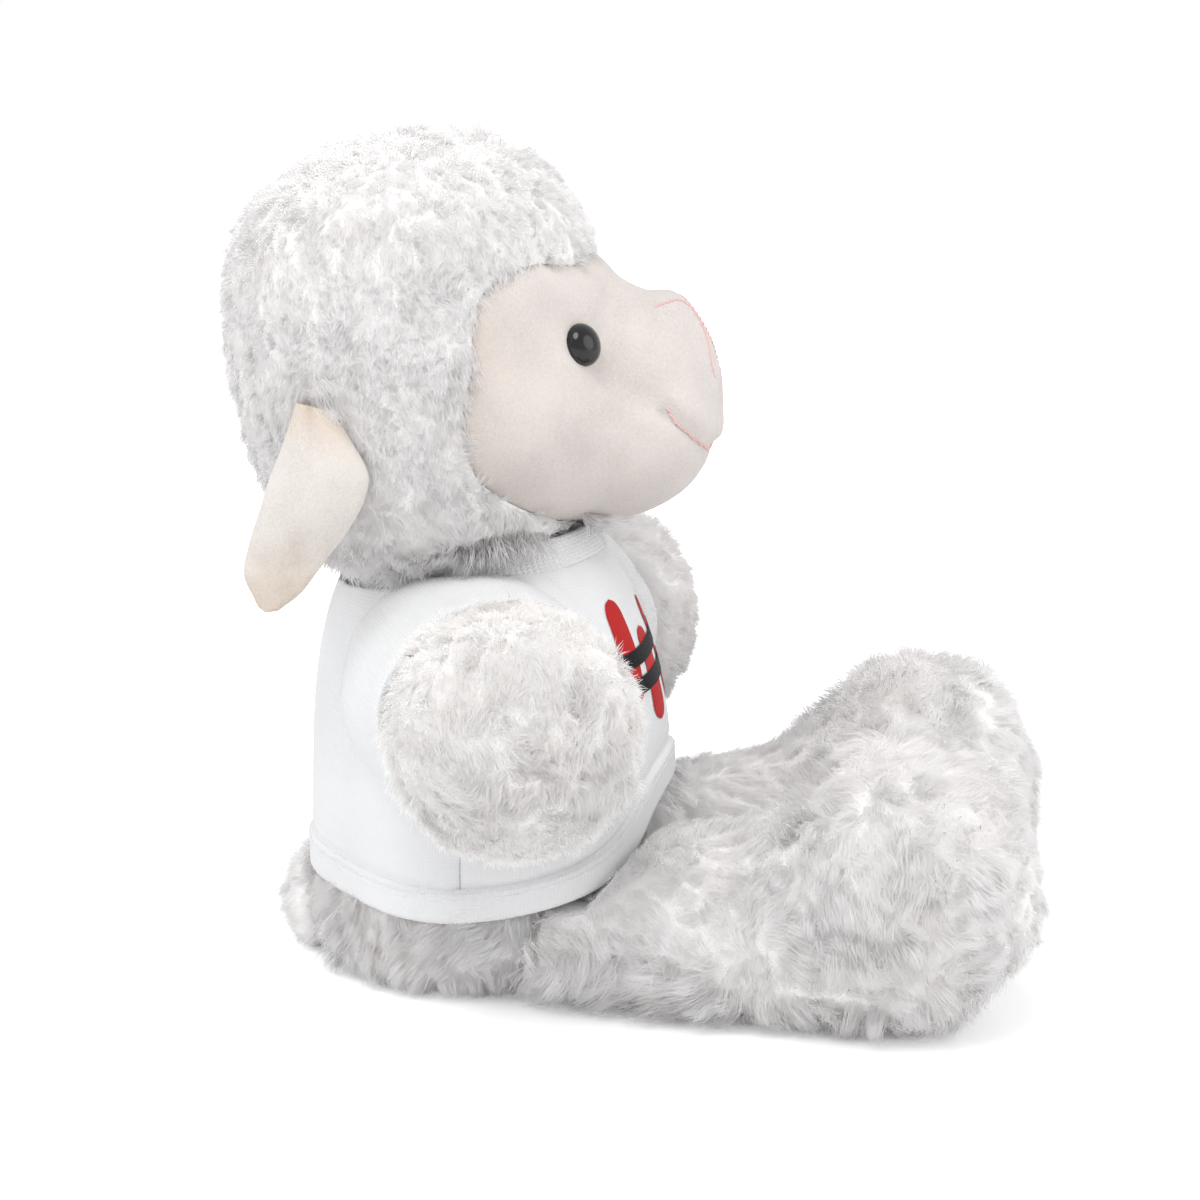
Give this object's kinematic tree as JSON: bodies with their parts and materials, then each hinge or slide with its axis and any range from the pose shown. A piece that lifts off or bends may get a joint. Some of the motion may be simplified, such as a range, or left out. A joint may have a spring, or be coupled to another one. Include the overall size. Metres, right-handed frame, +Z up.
{
  "type": "stuffed animal with t-shirt",
  "caption": "Sitting white plush lamb in a short knitted T-shirt, with head, arms, legs, ears and tail that turn on their sprung seams",
  "frame": {"origin": "on the floor under the middle of the lamb's length", "axes": "+Z up, the lamb faces -Y, its left side is at +X; +Z is its longest extent and +X its shortest"},
  "size_m": [0.1698, 0.1896, 0.195],
  "materials": {
    "fur": "long pile plush",
    "short_pile": "short pile plush",
    "jersey": "knitted",
    "thread": "satin stitch",
    "fibre": "loose fibre",
    "bag_cloth": "woven",
    "eye": "polished",
    "washer": "moulded",
    "pellets": "moulded"
  },
  "bodies": {
    "torso": {"torso_skin": "fur", "torso_filling": "fibre", "pellet_bag": "bag_cloth", "pellets": "pellets", "shirt_front": "jersey", "shirt_back": "jersey", "shirt_neckband": "jersey", "shirt_hem": "jersey"},
    "head": {"head_hood": "fur", "face_panel": "short_pile", "head_filling": "fibre", "nose_stitch": "thread", "mouth_stitch": "thread", "eye_right": "eye", "eye_left": "eye", "eye_washer_right": "washer", "eye_washer_left": "washer"},
    "arm_right": {"arm_skin_right": "fur", "arm_filling_right": "fibre", "shirt_sleeve_right": "jersey"},
    "leg_right": {"leg_skin_right": "fur", "leg_filling_right": "fibre"},
    "ear_right": {"ear_front_right": "short_pile", "ear_back_right": "short_pile"},
    "arm_left": {"arm_skin_left": "fur", "arm_filling_left": "fibre", "shirt_sleeve_left": "jersey"},
    "leg_left": {"leg_skin_left": "fur", "leg_filling_left": "fibre"},
    "ear_left": {"ear_front_left": "short_pile", "ear_back_left": "short_pile"},
    "tail": {"tail": "fur"}
  },
  "joints": [
    {"name": "head_turn", "type": "hinge", "parent": "torso", "child": "head", "pos_m": [0, 0.036, 0.098], "axis": [0, 0.1564, 0.9877], "range_deg": [-20, 20], "stiffness_Nm_per_rad": 0.15},
    {"name": "arm_raise_right", "type": "hinge", "parent": "torso", "child": "arm_right", "pos_m": [-0.026, 0.034, 0.07], "axis": [0, 1, 0], "range_deg": [-8, 20], "stiffness_Nm_per_rad": 0.4},
    {"name": "leg_spread_right", "type": "hinge", "parent": "torso", "child": "leg_right", "pos_m": [-0.027, 0.014, 0.0225], "axis": [0, 0, -1], "range_deg": [-4, 14], "stiffness_Nm_per_rad": 0.5},
    {"name": "ear_lift_right", "type": "hinge", "parent": "head", "child": "ear_right", "pos_m": [-0.04237, 0.066, 0.134], "axis": [0, 1, 0], "range_deg": [0, 30], "stiffness_Nm_per_rad": 0.02},
    {"name": "arm_raise_left", "type": "hinge", "parent": "torso", "child": "arm_left", "pos_m": [0.026, 0.034, 0.07], "axis": [0, -1, 0], "range_deg": [-8, 20], "stiffness_Nm_per_rad": 0.4},
    {"name": "leg_spread_left", "type": "hinge", "parent": "torso", "child": "leg_left", "pos_m": [0.027, 0.014, 0.0225], "axis": [0, 0, 1], "range_deg": [-4, 14], "stiffness_Nm_per_rad": 0.5},
    {"name": "ear_lift_left", "type": "hinge", "parent": "head", "child": "ear_left", "pos_m": [0.04237, 0.066, 0.134], "axis": [0, -1, 0], "range_deg": [0, 30], "stiffness_Nm_per_rad": 0.02},
    {"name": "tail_wag", "type": "hinge", "parent": "torso", "child": "tail", "pos_m": [0, 0.07161, 0.0125], "axis": [0, 0, 1], "range_deg": [-18, 18], "stiffness_Nm_per_rad": 0.02}
  ]
}
